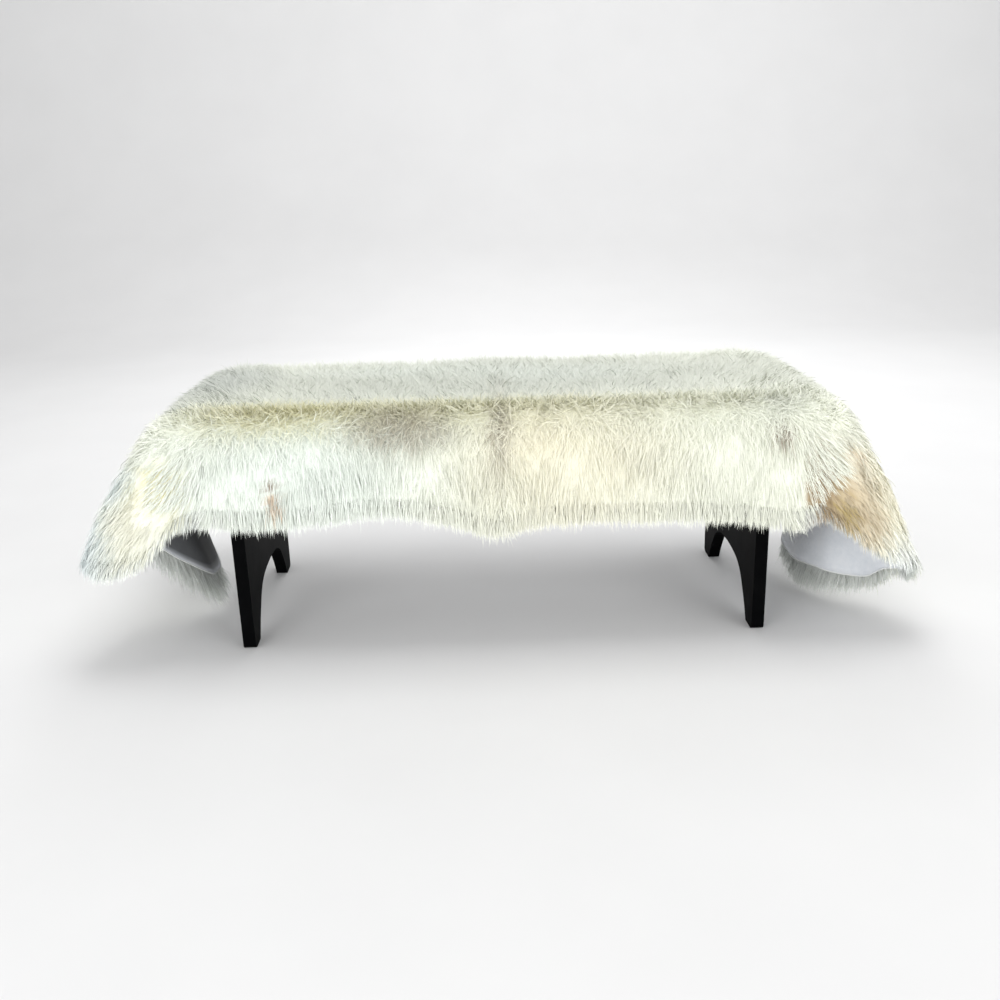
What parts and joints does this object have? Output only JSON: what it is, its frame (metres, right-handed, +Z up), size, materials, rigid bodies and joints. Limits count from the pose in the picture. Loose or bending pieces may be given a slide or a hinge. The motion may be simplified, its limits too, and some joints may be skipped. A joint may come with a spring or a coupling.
{
  "type": "double sheepskin draped over a plank bench",
  "caption": "Long-haired pale sheepskin of two joined pelts, draped as a seat cover over a low black plank bench, its ends hanging in loose folds.",
  "frame": {"origin": "on the floor, under the middle of the whole object's bounding box", "axes": "+X to the right along the bench, +Y from the front to the back, +Z up"},
  "size_m": [1.5578, 0.6542, 0.4754],
  "materials": {
    "black_paint": "semi-matte black paint on wood",
    "hide": "suede, the flesh side of a tanned sheepskin",
    "wool": "long straight wool, cream with tan streaks"
  },
  "bodies": {
    "root": {"bench_top": "black_paint", "bench_end_left": "black_paint", "bench_end_right": "black_paint", "hide_left": "hide", "hide_right": "hide", "fleece_left": "wool", "fleece_right": "wool"}
  },
  "joints": []
}
